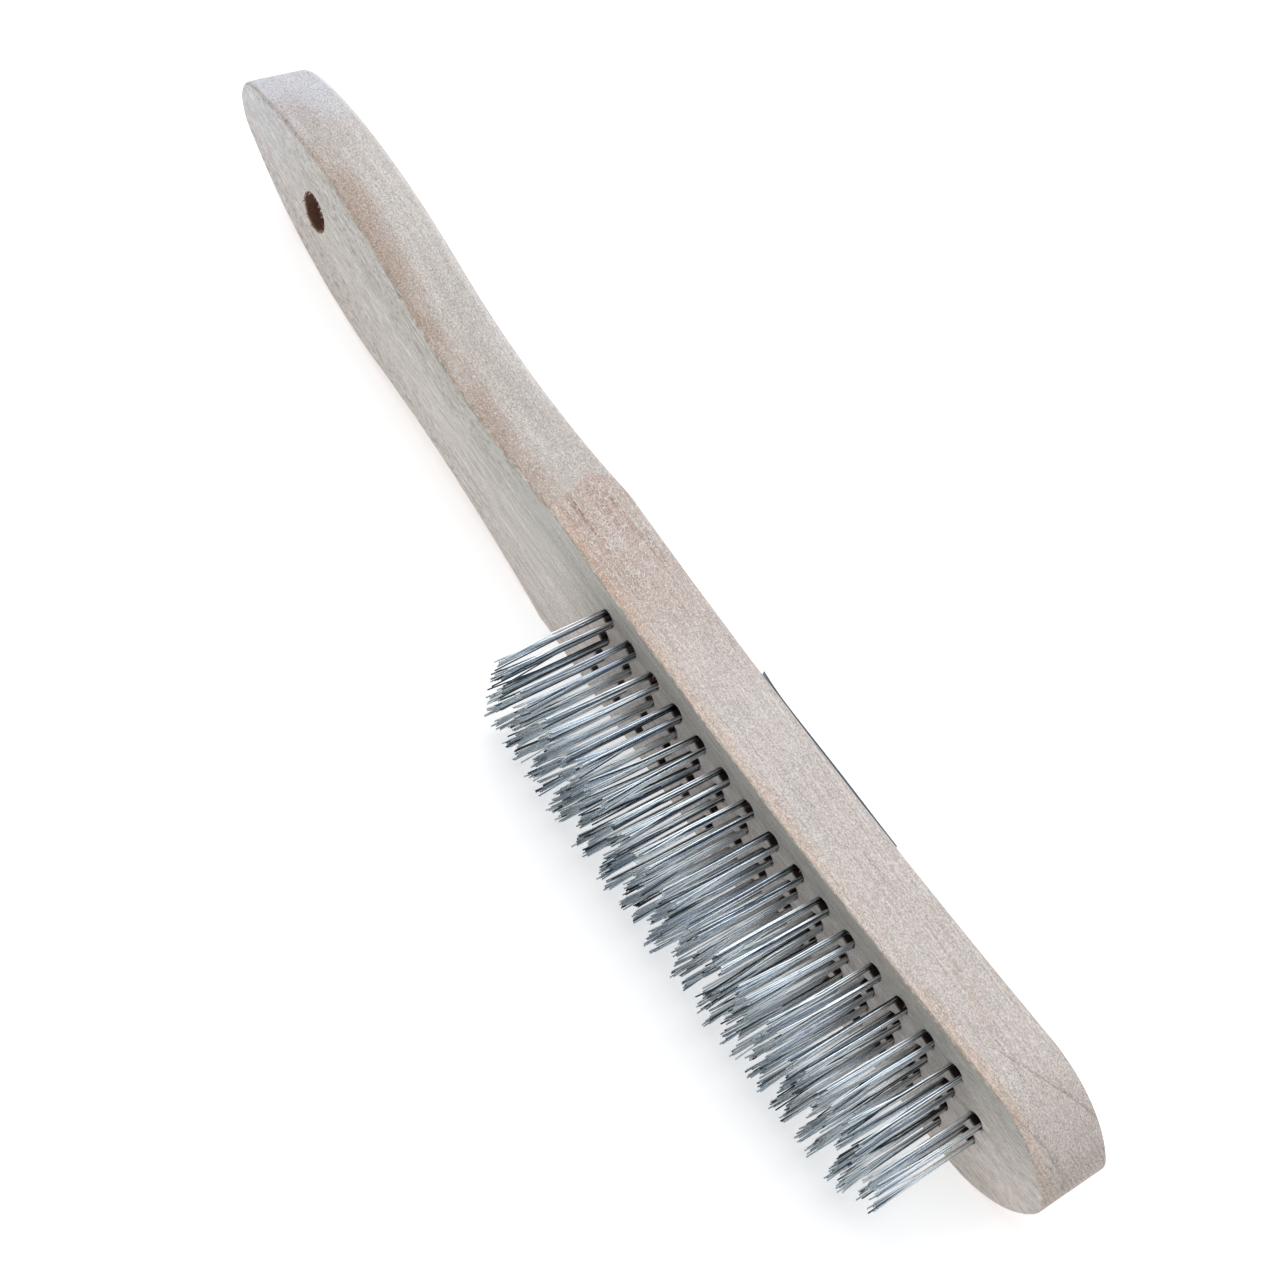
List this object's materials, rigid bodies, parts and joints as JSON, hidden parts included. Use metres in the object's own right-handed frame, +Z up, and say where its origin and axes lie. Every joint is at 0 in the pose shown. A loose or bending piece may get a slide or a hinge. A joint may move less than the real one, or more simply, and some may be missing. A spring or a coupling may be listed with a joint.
{
  "type": "wire brush",
  "caption": "Hand wire brush: a one-piece arched hardwood block and handle with cross rows of folded steel wire tufts and a hanging hole, for cleaning metal.",
  "frame": {"origin": "middle of the flat side of the head that the brush rests on", "axes": "+X from the handle toward the nose, +Y from the bristle face toward the back, +Z up, away from the side it rests on"},
  "size_m": [0.2911, 0.0471, 0.0324],
  "materials": {
    "block_wood": "pale hardwood, planed and unvarnished, finely fuzzy",
    "tuft_wire": "bright drawn carbon steel wire",
    "anchor_steel": "flattened plain steel wire",
    "label_paper": "thin printed film sticker, semi-gloss"
  },
  "bodies": {
    "root": {"handle_block": "block_wood", "tuft_row_01": "tuft_wire", "tuft_row_02": "tuft_wire", "tuft_row_03": "tuft_wire", "tuft_row_04": "tuft_wire", "tuft_row_05": "tuft_wire", "tuft_row_06": "tuft_wire", "tuft_row_07": "tuft_wire", "tuft_row_08": "tuft_wire", "tuft_row_09": "tuft_wire", "tuft_row_10": "tuft_wire", "tuft_row_11": "tuft_wire", "tuft_row_12": "tuft_wire", "tuft_row_13": "tuft_wire", "tuft_row_14": "tuft_wire", "tuft_row_15": "tuft_wire", "tuft_row_16": "tuft_wire", "anchor_row_01": "anchor_steel", "anchor_row_02": "anchor_steel", "anchor_row_03": "anchor_steel", "anchor_row_04": "anchor_steel", "anchor_row_05": "anchor_steel", "anchor_row_06": "anchor_steel", "anchor_row_07": "anchor_steel", "anchor_row_08": "anchor_steel", "anchor_row_09": "anchor_steel", "anchor_row_10": "anchor_steel", "anchor_row_11": "anchor_steel", "anchor_row_12": "anchor_steel", "anchor_row_13": "anchor_steel", "anchor_row_14": "anchor_steel", "anchor_row_15": "anchor_steel", "anchor_row_16": "anchor_steel", "back_label": "label_paper"}
  },
  "joints": []
}
